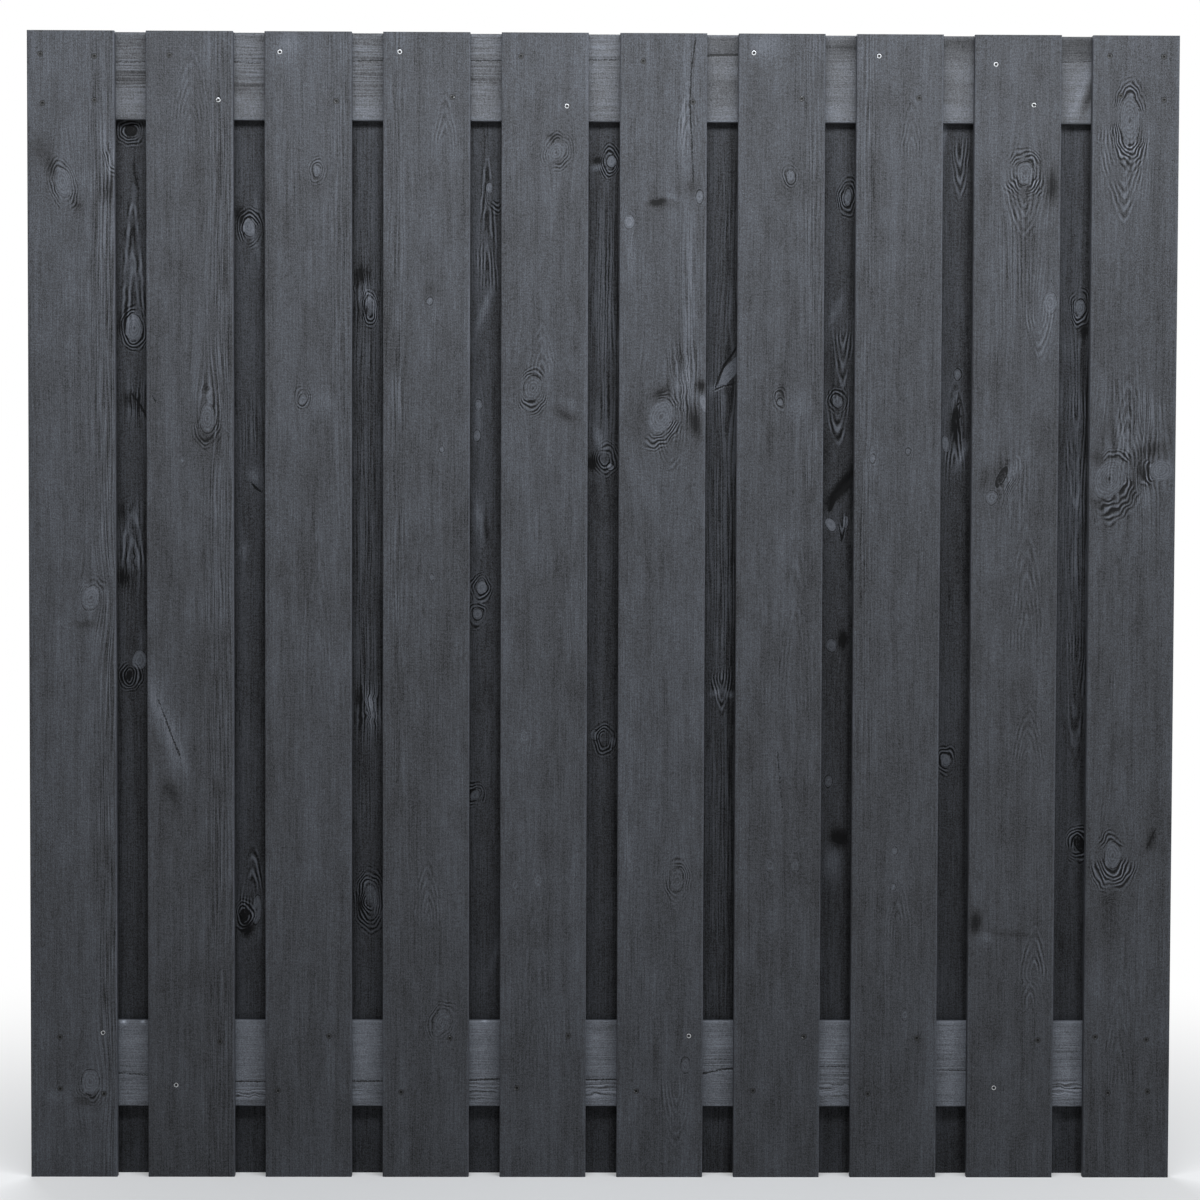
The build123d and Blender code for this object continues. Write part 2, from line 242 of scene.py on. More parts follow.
BACK_FEATURES = {
    1: [
        *ringed(130, 131, 6, 6, -0.5, 0.9, (12, 0.8, 3.2)), Arch(133, 318, 14, 170, 1.2, 1, 5.2),
        Patch(133, 270, 7, 60, 0.12), *ringed(134, 328, 8, 13, 0.46, 0.7, (10, 0.9, 3.2)),
        Patch(124, 318, 3.5, 12, -0.45, 14), Patch(134, 318, 6, 10, 0.2), Ridge(135, 400, 12, 20, 2, 1.5),
        Crack(1.4, [(131, 392), (140, 406), (147, 420)]), Patch(131, 400, 7, 9, -0.4, -20),
        Patch(131, 530, 8, 26, 0.34), Arch(133, 562, 14, 64, 1.6, 0.9, 5.2), Patch(122, 512, 4, 12, -0.3),
        Ridge(133, 545, 14, 44, 1.4, 2), Knot(139, 660, 7, 10, 0.55, 0.5), Patch(140, 640, 3, 12, 0.34),
        Patch(128, 676, 6, 7, -0.5), Arcs(130, 676, 4, 5, 12, 1, 3), Patch(124, 577, 6, 9, -0.45, -20),
        Patch(137, 560, 3, 10, 0.35),
    ],
    2: [
        Knot(249, 227, 6, 10, 0.5, 0.9, -20), Patch(241, 216, 5, 10, -0.45, -10),
        Patch(256, 244, 3, 20, 0.36, -10), Patch(256, 200, 3, 26, 0.24, 6),
        Arcs(250, 228, 6, 9, 12, 0.9, 3.2), Ridge(250, 425, 12, 30, 1.4, 1), Patch(255, 476, 6, 7, 0.4),
        Crack(1.4, [(251, 482), (256, 488), (262, 493)]), Patch(244, 550, 5, 8, 0.3),
        Arch(252, 900, 13, 60, 1.6, 0.9, 3.2), *ringed(245, 915, 5, 7, -0.55, 0.8, (10, 0.9, 3.2)),
        Knot(257, 910, 4.5, 15, 0.42, 0.5, 4), Patch(248, 928, 6, 8, -0.6), Patch(257, 934, 5, 8, 0.34, 30),
    ],
    3: [
        Arcs(370, 308, 4, 9, 9, 1, 3.2), Patch(371, 300, 5, 20, 0.62, -18), Patch(362, 276, 7, 9, -0.55),
        Patch(362, 312, 4, 14, -0.25, 20), Ridge(366, 296, 14, 24, 2.4, 3),
        Patch(372, 706, 5, 17, 0.7, -24), Patch(361, 700, 4, 8, -0.5), Ridge(370, 706, 12, 24, 2.6, 3),
        Arcs(370, 900, 4, 8, 20, 0.9, 3.4), Patch(373, 896, 5, 18, 0.5, -20), Patch(361, 905, 4, 12, -0.4),
        Ridge(366, 500, 14, 300, 0.9),
    ],
    4: [
        Arch(487, 280, 12, 150, 1.3, 0.8, 3.4), Arcs(496, 190, 5, 10, 12, 1, 3.2, 150, 300),
        Knot(489, 188, 3, 5, 0.6, 0.3), Patch(485, 306, 3.5, 22, 0.5, 18), Knot(479, 405, 4, 6, 0.35, 0.7),
        Knot(477, 436, 4, 6, 0.5, 0.7), Patch(479, 420, 3.5, 18, 0.3), Patch(479, 518, 4, 22, 0.5, -6),
        Patch(486, 530, 3, 12, -0.36, -10), *ringed(481, 588, 5, 7, 0.5, 0.9, (9, 0.9, 3)),
        *ringed(477, 615, 5, 6, 0.4, 0.9, (9, 0.9, 3)), *ringed(475, 795, 5, 6, 0.3, 0.9, (9, 0.9, 3)),
        Patch(495, 955, 3, 18, 0.3, 20),
    ],
    5: [
        Knot(611, 161, 4.5, 6, 0.75, 0.9), Patch(597, 167, 6, 3, 0.5, -20), Patch(598, 161, 5, 3, -0.5),
        Arcs(610, 162, 5, 8, 10, 0.9, 3), Ridge(608, 310, 14, 120, 1.3, 0.8), Knot(611, 467, 4, 4, 0.8, 1),
        Patch(598, 438, 4.5, 14, 0.6, -25), Patch(593, 463, 5, 6, -0.7), Arcs(606, 460, 4, 5, 14, 0.8, 3.2),
        Knot(595, 735, 4, 6, 0.35, 0.7), Knot(613, 742, 4, 6, 0.35, 0.7),
        Arcs(604, 740, 4, 6, 12, 0.8, 3.2),
    ],
    6: [
        Knot(728, 374, 6, 22, 0.55, 0, 36), Patch(712, 390, 4, 5, 0.35),
        Crack(1.6, [(716, 388), (724, 366), (738, 346)]), Crack(1, [(713, 391), (724, 386), (736, 384)]),
        Arch(722, 680, 12, -40, 1.2, 1.2, 3.2), Patch(716, 692, 6, 3, 0.6, -20),
        Patch(730, 694, 6, 3, 0.5, 20), Ridge(724, 600, 16, 420, 1),
    ],
    7: [
        Knot(848, 197, 4, 9, 0.4, 0.8), Arcs(848, 197, 5, 9, 11, 0.9, 3.2),
        Patch(835, 312, 3, 14, 0.35, 25), Arch(843, 330, 12, -66, 1.3, 0.7, 3.4),
        *ringed(838, 402, 5, 6, 0.35, 0.9, (8, 0.9, 3)), Arch(838, 402, 12, -50, 1.7, 0.9, 3.4),
        Crack(3.2, [(853, 474), (846, 483), (836, 497), (829, 512)]), Patch(841, 488, 5, 17, -0.8, 35),
        Knot(830, 525, 4.5, 7, 0.8, 0.5, -30), Knot(846, 522, 3, 6, 0.5, 0.3),
        Arch(842, 520, 6, -26, 1.3, 1.2, 3), Knot(832, 645, 5, 7, 0.35, 0.4), Patch(843, 640, 4, 8, -0.5),
        Knot(828, 781, 4, 6, 0.3, 0.6), Patch(831, 864, 8, 15, 0.42), Patch(838, 838, 8, 9, -0.55, -30),
    ],
    8: [
        Patch(945, 130, 3, 16, 0.45), Arch(960, 150, 12, -60, 1.2, 0.8, 3.2),
        Knot(958, 375, 4, 6, 0.35, 0.7), Patch(955, 426, 5, 14, -0.7),
        Arch(955, 436, 11, 60, 1.6, 0.5, 3.6), Knot(946, 444, 4, 8, 0.5, 0.6, -14),
        Patch(962, 456, 3, 14, 0.55, 24), Arch(955, 470, 12, 90, 1.2, 0.8, 3.4),
        *ringed(946, 760, 5, 7, 0.45, 0.6, (10, 0.9, 3.2)),
    ],
    9: [
        Ridge(1080, 470, 15, 150, 1.3, 0.6), *ringed(1080, 308, 5, 9, 0.3, 0.8, (10, 0.9, 3.2)),
        Patch(1083, 331, 5, 6, -0.5), Arch(1076, 400, 12, -140, 1.9, 0.5, 3),
        Arch(1076, 640, 12, -140, 1.9, 0.5, 3), Knot(1079, 844, 5, 8, -0.34, 0.9, -20),
        Patch(1072, 832, 3.5, 12, 0.4, 30), Arcs(1078, 845, 6, 8, 12, 1, 3.2),
    ],
}
# As on a board, the first half size of a rail's feature goes to the right and the second up
RAIL_FEATURES = {
    "top_rail": [
        Crack(0.7, [(110, 62), (200, 60), (250, 63), (380, 61), (480, 61), (580, 60), (620, 60)]),
        Crack(1.6, [(690, 58), (708, 56), (738, 55), (760, 56)]),
        Crack(0.5, [(1040, 62), (1060, 62), (1095, 61)]), Patch(370, 60, 26, 4, -0.16),
        Patch(722, 46, 24, 10, -0.26), Patch(850, 48, 30, 11, -0.36), Patch(966, 46, 28, 11, -0.3),
        Patch(1078, 48, 34, 12, -0.38), Patch(600, 112, 700, 9, 0.12), Patch(600, 46, 130, 6, 0.08),
        Patch(250, 84, 200, 10, -0.14), Patch(140, 76, 40, 6, -0.16), Patch(1080, 95, 5, 22, 0.2, 20),
        Patch(1088, 98, 4, 20, -0.55, 20), Ridge(250, 78, 300, 16, 0.8), Ridge(350, 45, 260, 14, 0.6, 1.5),
    ],
    "bottom_rail": [
        Crack(1, [(160, 1081), (235, 1081), (290, 1081), (370, 1081), (470, 1080),
                  (520, 1078), (600, 1079), (640, 1079)]),
        Crack(0.6, [(110, 1073), (150, 1075)]),
        Crack(1.2, [(690, 1074), (706, 1073), (722, 1069), (740, 1068)]),
        Crack(0.6, [(800, 1066), (880, 1067)]), Crack(0.6, [(930, 1070), (1000, 1071)]),
        Ridge(250, 1094, 120, 7, 2.4, 3), Ridge(560, 1090, 120, 9, 2.6, 3), Ridge(850, 1090, 60, 12, 2, 3),
        Ridge(1080, 1090, 50, 9, 2.6, 3), Ridge(900, 1060, 240, 14, 1), Patch(600, 1092, 60, 8, 0.24),
        Patch(1080, 1092, 50, 8, 0.2), Patch(250, 1102, 90, 4, -0.2), Patch(124, 1021, 2.2, 1.8, 2.2),
        Patch(143, 1021, 2.2, 1.8, 2), Patch(485, 1021, 2.5, 1.4, 1.8), Patch(600, 1019.5, 620, 1.2, 0.35),
    ],
}

# How bare each front screw is, in the order of the heads from left to right: 0 is
# stained over and 1 is bare steel. The back ones are all alike.
BARE_TOP = [0.25, 0.2, 0.3, 0.3, 0.3, 0.85, 1.0, 0.45, 0.85, 0.4, 0.35, 0.9,
            0.3, 0.3, 1.0, 0.45, 0.9, 0.4, 0.85, 0.85, 0.4, 0.3, 0.35, 0.2]
BARE_BOTTOM = [0.25, 0.2, 0.9, 0.3, 0.95, 0.3, 0.35, 0.3, 0.3, 0.4, 0.4, 0.3,
               0.45, 0.9, 0.35, 0.4, 0.35, 0.35, 0.95, 0.3, 0.35, 0.3, 0.3, 0.2]
BARE_BACK = 0.4

# Painted shadow on a back board, where the edges of the front boards shade it. Each strip
# is its place across the board and its half width, in millimetres, and its tone.
PAINTED_GAP_SHADOW_STRIPS = [(23.0, 7.0, -0.20), (-25.5, 3.5, -0.12)]

# Plank meshes. The steps are how far apart a plank's lines of points are.
EDGE_RADIUS = 1.5
EDGE_SEGMENTS = 2
FINE_STEP = 1.9
KNOT_STEP = 3.4
HIDDEN_STEP = 8.0
COARSE_COLUMN = 7.5
COARSE_ROW = 20.0
STEP_GROWTH = 1.4
LEAST_STEP = 0.8
FAR = 60.0

# How far beyond a crack and a knot the mesh stays fine, how much coarser it may be along a
# straight crack, and how fast the step grows away from a fine place
CRACK_MARGIN, KNOT_MARGIN = 2.5, 9.0
STRAIGHT_CRACK = 3.0
STEP_SLOPE = 0.5
SHARP_CORNER = math.radians(50)

# Random hills that bend the wood, each as its height and its sizes across and along
BEND = (1.6, 25, 60)
SHAKE_ACROSS, SHAKE_ALONG = (0.8, 9, 14), (1.3, 9, 14)
GRAIN_SWAY, GRAIN_DRIFT = (3.0, 60, 320), (1.0, 30, 90)
RIDGE_WAVER = (1.0, 6, 9)

# The grain flows round a knot: over how many of its half widths, how much farther along the
# plank, and how far it is pushed aside
FLOW_REACH, FLOW_STRETCH, FLOW_PUSH = 1.3, 1.7, 0.8

# Over what length a crack tapers, how far into the taper its tips start, and how far below
# its foot an arch fades out
CRACK_TAPER, CRACK_TIP = 8.0, 0.15
ARCH_FOOT = 25

# How deep the relief of the two faces is, how wide its slopes and waves are, and where it
# begins around a screw hole
ARC_DEPTH = 0.16
ARC_BED_DEPTH = 0.14
CRACK_DEPTH = 0.8
KNOT_DEPTH = 0.3
WAVE_DEPTH = 0.10
CRACK_SLOPE, KNOT_SHOULDER, WAVE_LENGTH = 1.2, 3.0, 9.0
RELIEF_START, RELIEF_FADE = 5.0, 6.0

# The paler arrises, partly worn stain and partly painted highlight: how far in from the edge they reach,
# over what width they fade, how far back from the front face they go, and how strong they are. The painted
# highlight makes them stronger on the right, the lit side, than on the left
ARRIS_REACH, ARRIS_FADE, ARRIS_DEPTH = 2.2, 1.6, 2.0
ARRIS_WEAR_AND_HIGHLIGHT_MEAN, ARRIS_HIGHLIGHT_LEAN = 0.6, 0.4

# Seeds of the random draws
BUILD_SEED = 11
FRONT_SEED, BACK_SEED, RAIL_SEED = 100, 200, 301

# Screws and the countersunk mouths around them
HEAD_RADIUS = 3.75
SHANK_RADIUS = 2.0
HEAD_SINK = 0.4
SCREW_REACH = 25.0
SCREW_POINT = 4.0
SCREW_SEGMENTS = 24
RECESS_RADIUS = 2.1
RECESS_WAVE = 0.28
RECESS_DEPTH = 1.2
RECESS_LOBES = 6
SCREW_CORNER = math.radians(35)
# From the floor of a screw's recess to its point: radius, wave of the lobes, depth, and how
# bare it can be. The first rings lie in the recess, darkened by dirt and painted shade.
SCREW_RINGS = [
    (0.8, 0.0, RECESS_DEPTH + 0.2, 0.0),
    (RECESS_RADIUS, RECESS_WAVE, RECESS_DEPTH, 0.0),
    (RECESS_RADIUS, RECESS_WAVE, 0.1, 0.0),
    (RECESS_RADIUS + 0.1, RECESS_WAVE, 0.0, 1.0),
    (HEAD_RADIUS - 0.35, 0.0, 0.0, 1.0),
    (HEAD_RADIUS - 0.05, 0.0, 0.08, 0.9),
    (HEAD_RADIUS, 0.0, 0.25, 0.5),
    (SHANK_RADIUS, 0.0, HEAD_RADIUS - SHANK_RADIUS, 0.3),
    (SHANK_RADIUS, 0.0, SCREW_REACH - SCREW_POINT, 0.3),
    (0.15, 0.0, SCREW_REACH, 0.3),
]
RECESS_RINGS = 3
RECESS_DIRT_AND_SHADE = 0.1
HOLE_CELLS = 6
HOLE_REACH = 7.5
HOLE_PROFILE = [(4.35, 0.0), (4.1, 0.12), (3.9, HEAD_SINK), (2.15, HEAD_SINK + 1.75), (2.1, 2.6)]
SCREW_NODES = {
    "front_screws_top_rail": 1,
    "front_screws_bottom_rail": 1,
    "back_screws_top_rail": -1,
    "back_screws_bottom_rail": -1,
}

# Stain, as a tint of the darker and of the paler wood, the hue of steel, and the wood's bump
DARK_STAIN = (0.92, 0.95, 1.035, 1.0)
PALE_STAIN = (0.885, 0.95, 1.09, 1.0)
STEEL_HUE = (0.98, 1.0, 1.03, 1.0)
WOOD_BUMP = 0.3 * MM

# End grain: how much noise moves the heart of the log sideways, how far in front of the
# plank's middle it lies, and how many radians of a growth ring go into a millimetre
HEART_SPREAD, HEART_DEPTH, RING_TURN = 120.0, 24.0, 1.7


def camera_axes():
    """The camera's right, up and forward directions."""
    forward = Vector((math.sin(CAMERA_YAW) * math.cos(CAMERA_PITCH),
                      math.cos(CAMERA_YAW) * math.cos(CAMERA_PITCH),
                      math.sin(CAMERA_PITCH)))
    level = Vector((math.cos(CAMERA_YAW), -math.sin(CAMERA_YAW), 0.0))
    upright = level.cross(forward)
    right = math.cos(CAMERA_ROLL) * level + math.sin(CAMERA_ROLL) * upright
    up = math.cos(CAMERA_ROLL) * upright - math.sin(CAMERA_ROLL) * level
    return right, up, forward


def photo_point(px, py, plane_y):
    """Where the line of sight through a pixel of the photograph meets an upright plane, as x and z."""
    right, up, forward = camera_axes()
    focal = CAMERA_LENS / SENSOR_WIDTH * PHOTO_SIZE
    sight = forward + right * (px - PHOTO_SIZE / 2) / focal - up * (py - PHOTO_SIZE / 2) / focal
    place = Vector(CAMERA_PLACE)
    hit = place + sight * (plane_y - place.y) / sight.y
    return hit.x, hit.z


def add_camera():
    right, up, forward = camera_axes()
    data = bpy.data.cameras.new("camera")
    data.lens = CAMERA_LENS
    data.sensor_width = SENSOR_WIDTH
    data.clip_end = VIEW_DEPTH
    camera = add_object("camera", data)
    turn = Matrix((right, up, -forward)).transposed().to_4x4()
    camera.matrix_world = Matrix.Translation(CAMERA_PLACE) @ turn
    bpy.context.scene.camera = camera


def add_object(name, data):
    new = bpy.data.objects.new(name, data)
    bpy.context.scene.collection.objects.link(new)
    return new


def smooth(x):
    """A soft step from 0 to 1 as x goes from 0 to 1."""
    x = np.clip(x, 0.0, 1.0)
    return x * x * (3 - 2 * x)


def hills(random, s, v, height, size_s, size_v):
    """Smooth random hills, up to a height and of some size across and along."""
    a, b = (s - s.min()) / size_s, (v - v.min()) / size_v
    grid = random.uniform(-1, 1, (int(a.max()) + 2, int(b.max()) + 2))
    i, j = a.astype(int), b.astype(int)
    part_a, part_b = smooth(a - i), smooth(b - j)
    low = grid[i, j] * (1 - part_b) + grid[i, j + 1] * part_b
    high = grid[i + 1, j] * (1 - part_b) + grid[i + 1, j + 1] * part_b
    return height * (low * (1 - part_a) + high * part_a)


def turned(feature, s, v):
    """How far points are from the middle of a tilted oval, where its edge is at 1."""
    angle = math.radians(feature.tilt)
    ds, dv = s - feature.x, v - feature.y
    x = (ds * math.cos(angle) - dv * math.sin(angle)) / feature.a
    y = (ds * math.sin(angle) + dv * math.cos(angle)) / feature.b
    return np.hypot(x, y)


def line_depth(crack, s, v):
    """How far points are outside a crack, which tapers to both of its ends."""
    depth = np.full_like(s, FAR)
    ends = [np.hypot(s - x, v - y) for x, y in (crack.points[0], crack.points[-1])]
    half = crack.half * smooth(np.minimum(*ends) / CRACK_TAPER + CRACK_TIP)
    for (s0, v0), (s1, v1) in zip(crack.points, crack.points[1:]):
        length = (s1 - s0) ** 2 + (v1 - v0) ** 2
        share = np.clip(((s - s0) * (s1 - s0) + (v - v0) * (v1 - v0)) / length, 0, 1)
        depth = np.minimum(depth, np.hypot(s - s0 - share * (s1 - s0), v - v0 - share * (v1 - v0)))
    return depth - half


def keep_stronger(f, name, waves, weight):
    """Takes over waves where they are stronger than those that a field holds."""
    stronger = weight > f[name + "_weight"]
    f[name] = np.where(stronger, waves, f[name])
    f[name + "_weight"] = np.where(stronger, weight, f[name + "_weight"])


class Wood:
    """What grows in one plank. Across goes round it and along goes up it, so fibres can turn an edge."""

    def __init__(self, seed, features, tone):
        self.random = np.random.default_rng(seed)
        self.seed, self.features, self.tone = seed, features, tone

    def marks(self, axis, half):
        """Where the mesh has to be fine, as a centre, a reach and a step. Axis 0 is across, 1 along."""
        found = []
        for feature in self.features:
            if isinstance(feature, Crack):
                spans = [(min(places), max(places)) for places in zip(*feature.points)]
                (low, high), other = spans[axis], spans[1 - axis]
                slope = (high - low) / (other[1] - other[0] + 1.0)
                step = FINE_STEP * min(max(slope, 1.0), STRAIGHT_CRACK)
                found.append(((low + high) / 2, (high - low) / 2 + CRACK_MARGIN, step))
                continue
            hidden = feature.x > half
            if (hidden and axis == 0) or (isinstance(feature, Ridge) and not feature.waver):
                continue
            centre, size, step = feature[axis], feature[axis + 2], KNOT_STEP
            if isinstance(feature, Arch) and axis == 1:
                centre, size, step = centre + size / 2, abs(size) / 2, 2 * KNOT_STEP
            elif isinstance(feature, Patch):
                size, step = 0.7 * size, max(0.45 * size, FINE_STEP)
            elif isinstance(feature, (Knot, Arcs)):
                size += KNOT_MARGIN
            found.append((centre, size, HIDDEN_STEP if hidden else step))
        return found

    def fields(self, s, v):
        """The attributes at points across and along the plank."""
        bent_s = s + hills(self.random, s, v, *BEND)
        shaken_s = bent_s + hills(self.random, s, v, *SHAKE_ACROSS)
        shaken_v = v + hills(self.random, s, v, *SHAKE_ALONG)
        grain = s + hills(self.random, s, v, *GRAIN_SWAY)
        grain += hills(self.random, s, v, *GRAIN_DRIFT)
        blank = ("knot_tone", "rim", "arc", "arc_weight", "ring", "ring_weight")
        f = {name: np.zeros_like(s) for name in blank}
        f.update(grain=grain, across=s, along=v, core=np.ones_like(s), ridge=np.ones_like(s),
                 knot=np.full_like(s, FAR), crack=np.full_like(s, FAR), tone=np.full_like(s, self.tone))
        for feature in self.features:
            if isinstance(feature, Crack):
                f["crack"] = np.minimum(f["crack"], line_depth(feature, bent_s, v))
            elif isinstance(feature, Patch):
                f["tone"] += feature.tone * np.exp(-turned(feature, shaken_s, shaken_v) ** 2)
            elif isinstance(feature, Knot):
                self.add_knot(f, feature, shaken_s, shaken_v)
            elif isinstance(feature, Arcs):
                self.add_arcs(f, feature, shaken_s, shaken_v)
            elif isinstance(feature, Arch):
                self.add_arch(f, feature, shaken_s, shaken_v)
            elif isinstance(feature, Ridge):
                ds, dv = (shaken_s - feature.x) / feature.a, (shaken_v - feature.y) / feature.b
                near = np.exp(-ds ** 2 - dv ** 4)
                f["ridge"] += feature.gain * near
                f["grain"] += feature.waver * near * hills(self.random, s, v, *RIDGE_WAVER)
        return f

    def add_knot(self, f, knot, s, v):
        """The nearest knot gives its tone and rim, and the grain flows round every knot."""
        core = turned(knot, s, v)
        distance = (core - 1) * math.sqrt(knot.a * knot.b)
        nearer = distance < f["knot"]
        own = {"knot": distance, "knot_tone": knot.tone, "rim": knot.rim, "core": core}
        for name, value in own.items():
            f[name] = np.where(nearer, value, f[name])
        size = FLOW_REACH * knot.a
        ds, dv = s - knot.x, (v - knot.y) / (FLOW_STRETCH * max(knot.b / knot.a, 1.0))
        f["grain"] -= FLOW_PUSH * ds * np.exp(-(ds ** 2 + dv ** 2) / (2 * size ** 2))

    def add_arcs(self, f, arcs, s, v):
        distance = (turned(arcs, s, v) - 1) * math.sqrt(arcs.a * arcs.b)
        span = (arcs.end - arcs.start) / 2
        sector = 1.0
        if span < 179:
            heading = np.degrees(np.arctan2(v - arcs.y, s - arcs.x))
            off = np.abs((heading - arcs.start - span + 180) % 360 - 180)
            sector = smooth(1.0 - (off - 0.6 * span) / (0.5 * span))
        weight = arcs.strength * sector * smooth(1.2 - distance / arcs.reach) * smooth(distance / 1.5 + 1)
        keep_stronger(f, "arc", distance / arcs.spacing, weight)

    def add_arch(self, f, arch, s, v):
        side = np.abs(s - arch.x)
        rise = (v - arch.y) * math.copysign(1.0, arch.height)
        tall = np.maximum(rise, 0) * arch.a / abs(arch.height)
        across = (side ** arch.point + tall ** arch.point) ** (1 / arch.point)
        inside = smooth((1.1 * arch.a - across) / (0.3 * arch.a))
        weight = arch.strength * inside * smooth(rise / ARCH_FOOT + 1)
        keep_stronger(f, "ring", across / arch.spacing, weight)


def stations(low, high, marks, coarse):
    """Places from low to high, as close together as the marks ask for."""
    places = [low]
    step = coarse
    while places[-1] < high - 0.01:
        here = places[-1]
        wanted = [fine + STEP_SLOPE * max(abs(here - centre) - reach, 0.0)
                  for centre, reach, fine in marks]
        step = min([step * STEP_GROWTH, coarse] + wanted)
        places.append(min(here + step, high))
    if places[-1] - places[-2] < LEAST_STEP:
        places.pop(-2)
    return np.array(places)


class Plank:
    """A swept plank: u across its front face, t through it and v along it."""

    def __init__(self, name, size, wood, place, holes, drilled_behind):
        self.name, self.wood, self.place = name, wood, place
        self.holes, self.drilled_behind = holes, drilled_behind
        self.width, self.thickness, self.length = size
        flat = self.width / 2 - EDGE_RADIUS
        across, along = ([(hole[axis], HOLE_REACH, FINE_STEP) for hole in holes] for axis in (0, 1))
        seen = wood.marks(0, flat)
        self.v = stations(0.0, self.length, wood.marks(1, flat) + along, COARSE_ROW)
        self.front = stations(-flat, flat, seen if drilled_behind else seen + across, COARSE_COLUMN)
        self.back = stations(-flat, flat, across if drilled_behind else [], COARSE_COLUMN)
        self.sweep()
        self.drill()

    def perimeter(self):
        """The section as u, t and the way round it, anticlockwise from the left of the front face."""
        w, t, r = self.width / 2, self.thickness / 2, EDGE_RADIUS
        turns = [math.pi / 2 * k / EDGE_SEGMENTS for k in range(1, EDGE_SEGMENTS)]
        side = [-t + r, t - r]
        points = [(u, -t, u) for u in self.front]
        points += [(w - r + r * math.sin(a), -t + r - r * math.cos(a), w - r + r * a) for a in turns]
        points += [(w, y, w + y + t) for y in side]
        points += [(w - r + r * math.cos(a), t - r + r * math.sin(a), w + 2 * t - r + r * a) for a in turns]
        points += [(u, t, 2 * w + 2 * t - u) for u in self.back[::-1]]
        points += [(-w + r - r * math.sin(a), t - r + r * math.cos(a), -w - 2 * t + r - r * a)
                   for a in turns]
        points += [(-w, y, -w - y - t) for y in side[::-1]]
        points += [(-w + r - r * math.cos(a), -t + r - r * math.sin(a), -w + r - r * (math.pi / 2 - a))
                   for a in turns]
        return np.array(points)

    def sweep(self):
        section = self.perimeter()
        count, stations = len(section), len(self.v)
        self.count = count
        u, t, self.across = (np.tile(section[:, k], stations) for k in range(3))
        self.points = np.stack([u, t, np.repeat(self.v, count)], axis=1)
        index = np.arange(count * stations).reshape(stations, count)
        beside = np.roll(index, -1, axis=1)
        self.faces = np.stack([index[:-1], beside[:-1], beside[1:], index[1:]], axis=-1).reshape(-1, 4)
        self.face_column = np.tile(np.arange(count), stations - 1)
        self.face_row = np.repeat(np.arange(stations - 1), count)
        self.rings = [index[0][::-1], index[-1]]

    def drill(self):
        """Cuts a countersunk mouth for each screw into the front or the back face."""
        keep = np.ones(len(self.faces), bool)
        points, across, faces = [], [], []
        new = len(self.points)
        back_start = self.count - 2 * (EDGE_SEGMENTS - 1) - 2 - len(self.back)
        on_back = self.drilled_behind
        line = self.back[::-1] if on_back else self.front
        offset = back_start if on_back else 0
        face_t = self.thickness / 2 * (1 if on_back else -1)
        inward = -1 if on_back else 1
        for u0, v0 in self.holes:
            i0 = int(np.clip(np.argmin(np.abs(line - u0)) - HOLE_CELLS // 2, 1, len(line) - HOLE_CELLS - 2))
            j0 = int(np.argmin(np.abs(self.v - v0)) - HOLE_CELLS // 2)
            in_column = (self.face_column >= offset + i0) & (self.face_column < offset + i0 + HOLE_CELLS)
            keep &= ~(in_column & (self.face_row >= j0) & (self.face_row < j0 + HOLE_CELLS))
            i1, j1 = i0 + HOLE_CELLS, j0 + HOLE_CELLS
            square = [(i, j0) for i in range(i0, i1)] + [(i1, j) for j in range(j0, j1)]
            square += [(i, j1) for i in range(i1, i0, -1)] + [(i0, j) for j in range(j1, j0, -1)]
            border = [j * self.count + offset + i for i, j in square]
            ring = border
            for radius, depth in HOLE_PROFILE:
                inner = []
                for edge in border:
                    du, dv = self.points[edge][0] - u0, self.points[edge][2] - v0
                    far = math.hypot(du, dv)
                    u = u0 + du / far * radius
                    points.append((u, face_t + inward * depth, v0 + dv / far * radius))
                    across.append(self.width + self.thickness - u if on_back else u)
                    inner.append(new)
                    new += 1
                for k in range(len(ring)):
                    m = (k + 1) % len(ring)
                    faces.append((ring[k], ring[m], inner[m], inner[k]))
                ring = inner
            self.rings.append(np.array(ring))
        if points:
            self.points = np.vstack([self.points, points])
            self.across = np.concatenate([self.across, across])
        self.faces = np.vstack([self.faces[keep]] + ([faces] if faces else []))

    def relief(self, f):
        """How far each point of the two faces is worn or shrunk, in millimetres."""
        on_face = np.abs(self.points[:, 1]) > self.thickness / 2 - 0.01
        inside = np.abs(self.points[:, 0]) < self.width / 2 - EDGE_RADIUS + 0.01
        arcs = f["arc_weight"] * (0.5 - 0.5 * np.cos(2 * np.pi * f["arc"]))
        cracks = np.exp(-(np.maximum(f["crack"], 0) / CRACK_SLOPE) ** 2)
        knots = smooth(1 - np.abs(f["knot"]) / KNOT_SHOULDER) * f["rim"]
        wave = 0.5 + 0.5 * np.sin(f["grain"] / WAVE_LENGTH + self.wood.seed)
        depth = ARC_DEPTH * arcs + ARC_BED_DEPTH * np.minimum(f["arc_weight"], 1.0)
        depth = depth + CRACK_DEPTH * cracks + KNOT_DEPTH * knots + WAVE_DEPTH * wave
        return np.where(on_face & inside, depth * smooth((f["hole"] - RELIEF_START) / RELIEF_FADE), 0.0)

    def all_fields(self):
        """The wood's attributes at all points, with those that come from the plank's own form."""
        u, t, v = self.points.T
        f = self.wood.fields(self.across, v)
        f["hole"] = np.full_like(v, FAR)
        for u0, v0 in self.holes:
            s0 = self.width + self.thickness - u0 if self.drilled_behind else u0
            f["hole"] = np.minimum(f["hole"], np.hypot(self.across - s0, v - v0))
